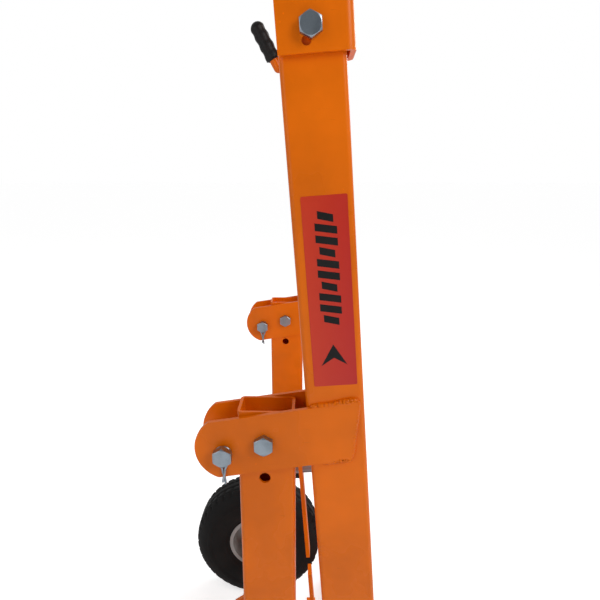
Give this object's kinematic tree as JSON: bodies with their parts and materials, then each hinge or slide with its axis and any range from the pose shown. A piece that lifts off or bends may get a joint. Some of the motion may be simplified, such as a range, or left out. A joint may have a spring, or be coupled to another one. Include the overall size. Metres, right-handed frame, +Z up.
{
  "type": "portable gantry crane",
  "caption": "Wheeled upright crane frame with leaning masts, swinging prop legs, a fold-back gantry head, trolley and swivel hook.",
  "frame": {"origin": "middle of the rubber foot strip's underside, on the floor", "axes": "+Z up along the height, +X to the load side, Y across from one side unit to the other"},
  "size_m": [0.378, 0.5938, 1.5678],
  "materials": {
    "orange_paint": "glossy orange powder coat",
    "grey_paint": "light grey paint",
    "zinc": "bluish zinc plate",
    "steel": "turned steel",
    "forged_steel": "dark forged steel",
    "tyre_rubber": "matt black tyre",
    "black_rubber": "black rubber",
    "black_plastic": "matt black plastic",
    "nylon": "natural nylon",
    "label_film": "red-orange vinyl"
  },
  "bodies": {
    "frame": {"near_mast": "orange_paint", "far_mast": "orange_paint", "near_bracket": "orange_paint", "far_bracket": "orange_paint", "bracket_welds": "orange_paint", "leg_pivot_bolts": "zinc", "leg_pivot_nuts": "zinc", "leg_pivot_washers": "zinc", "cap_bolts": "zinc", "cap_nuts": "zinc", "cap_washers": "zinc", "bottom_rail": "orange_paint", "middle_rail": "orange_paint", "upper_rail": "orange_paint", "foot_strip": "black_rubber", "axle_tube": "orange_paint", "axle": "zinc", "axle_arms": "orange_paint", "axle_retainers": "zinc", "latch_strap": "orange_paint", "strap_bolt": "zinc", "strap_keeper": "orange_paint", "mast_labels": "label_film"},
    "near_wheel": {"near_tyre": "tyre_rubber", "near_rim": "grey_paint", "near_hub": "grey_paint", "near_bearings": "steel"},
    "near_prop_leg": {"near_leg_tube": "orange_paint", "near_leg_bush": "nylon", "near_leg_foot": "black_rubber"},
    "near_pin": {"near_lock_pin": "zinc"},
    "near_clip": {"near_pin_clip": "zinc"},
    "far_wheel": {"far_tyre": "tyre_rubber", "far_rim": "grey_paint", "far_hub": "grey_paint", "far_bearings": "steel"},
    "far_prop_leg": {"far_leg_tube": "orange_paint", "far_leg_bush": "nylon", "far_leg_foot": "black_rubber"},
    "far_pin": {"far_lock_pin": "zinc"},
    "far_clip": {"far_pin_clip": "zinc"},
    "gantry_head": {"near_cap": "orange_paint", "far_cap": "orange_paint", "near_post": "orange_paint", "far_post": "orange_paint", "near_grip": "black_rubber", "far_grip": "black_rubber", "head_arms": "orange_paint", "head_gussets": "orange_paint", "handle_bars": "orange_paint", "top_beam": "orange_paint", "beam_caps": "black_plastic"},
    "trolley": {"trolley_plates": "zinc", "trolley_axles": "zinc", "trolley_block": "steel"},
    "near_trolley_roller": {"near_roller": "steel"},
    "far_trolley_roller": {"far_roller": "steel"},
    "hook": {"swivel_hook": "forged_steel", "hook_nut": "steel"},
    "latch": {"hook_latch": "zinc"}
  },
  "joints": [
    {"name": "near_wheel_spin", "type": "hinge", "parent": "frame", "child": "near_wheel", "pos_m": [-0.187, -0.221, 0.13], "axis": [0, 1, 0], "continuous": true},
    {"name": "near_prop_leg_swing", "type": "hinge", "parent": "frame", "child": "near_prop_leg", "pos_m": [-0.12516, -0.221, 0.622], "axis": [0, 1, 0], "range_deg": [0, 75.6]},
    {"name": "near_lock_pin_draw", "type": "slide", "parent": "frame", "child": "near_pin", "axis": [0, -1, 0], "range_m": [0, 0.3075]},
    {"name": "near_clip_swing", "type": "hinge", "parent": "near_pin", "child": "near_clip", "pos_m": [-0.16778, -0.2478, 0.61106], "axis": [0, 1, 0], "range_deg": [-70, 70]},
    {"name": "far_wheel_spin", "type": "hinge", "parent": "frame", "child": "far_wheel", "pos_m": [-0.187, 0.221, 0.13], "axis": [0, 1, 0], "continuous": true},
    {"name": "far_prop_leg_swing", "type": "hinge", "parent": "frame", "child": "far_prop_leg", "pos_m": [-0.12516, 0.221, 0.622], "axis": [0, 1, 0], "range_deg": [0, 75.6]},
    {"name": "far_lock_pin_draw", "type": "slide", "parent": "frame", "child": "far_pin", "axis": [0, -1, 0], "range_m": [0, 0.3075]},
    {"name": "far_clip_swing", "type": "hinge", "parent": "far_pin", "child": "far_clip", "pos_m": [-0.16778, 0.1942, 0.61106], "axis": [0, 1, 0], "range_deg": [-70, 70]},
    {"name": "head_fold", "type": "hinge", "parent": "frame", "child": "gantry_head", "pos_m": [-0.07825, 0, 1.01699], "axis": [0, -1, 0], "range_deg": [0, 90]},
    {"name": "trolley_travel", "type": "slide", "parent": "gantry_head", "child": "trolley", "axis": [0, 1, 0], "range_m": [-0.14, 0.14]},
    {"name": "near_roller_spin", "type": "hinge", "parent": "trolley", "child": "near_trolley_roller", "pos_m": [0.025, -0.03, 1.55176], "axis": [1, 0, 0], "continuous": true},
    {"name": "far_roller_spin", "type": "hinge", "parent": "trolley", "child": "far_trolley_roller", "pos_m": [0.025, 0.03, 1.55176], "axis": [1, 0, 0], "continuous": true},
    {"name": "hook_swivel", "type": "hinge", "parent": "trolley", "child": "hook", "pos_m": [0.025, 0, 1.43346], "axis": [0, 0, 1], "continuous": true},
    {"name": "latch_press", "type": "hinge", "parent": "hook", "child": "latch", "pos_m": [0.037, 0, 1.4037], "axis": [0, 1, 0], "range_deg": [0, 30], "stiffness_Nm_per_rad": 0.03, "springref_deg": -20.05}
  ],
  "couplings": [
    {"joint": "near_lock_pin_draw", "follows": "near_prop_leg_swing", "m_per_rad": 0.233},
    {"joint": "far_lock_pin_draw", "follows": "far_prop_leg_swing", "m_per_rad": 0.233},
    {"joint": "near_roller_spin", "follows": "trolley_travel", "rad_per_m": -62.5},
    {"joint": "far_roller_spin", "follows": "trolley_travel", "rad_per_m": -62.5}
  ]
}
